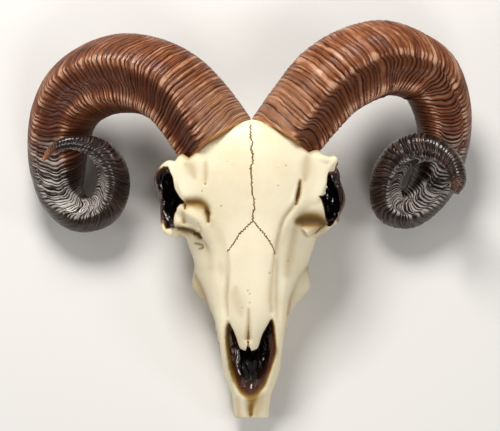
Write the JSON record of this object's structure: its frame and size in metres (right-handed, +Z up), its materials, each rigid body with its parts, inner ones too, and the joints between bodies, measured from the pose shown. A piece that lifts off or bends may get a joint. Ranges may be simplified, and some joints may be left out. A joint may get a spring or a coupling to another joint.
{
  "type": "ram skull replica",
  "caption": "Life-size painted cast of a ram's skull with two large ridged horns curling forward beside the face, lying on its cheek teeth and the processes behind them.",
  "frame": {"origin": "on the surface the skull rests on, under the middle of its outline", "axes": "+X to the animal's left, +Y towards the back of the skull, +Z up"},
  "size_m": [0.3994, 0.34, 0.1369],
  "materials": {
    "bone": "cast resin painted warm ivory, with an ochre-brown wash in the sutures and hollows",
    "horn": "cast resin painted dark red-brown, its ridges dry-brushed lighter under a gloss varnish"
  },
  "bodies": {
    "root": {"nasal": "bone", "frontal_left": "bone", "frontal_right": "bone", "zygomatic_left": "bone", "zygomatic_right": "bone", "maxilla_left": "bone", "maxilla_right": "bone", "premaxilla_left": "bone", "premaxilla_right": "bone", "braincase": "bone", "horn_left": "horn", "horn_right": "horn"}
  },
  "joints": []
}
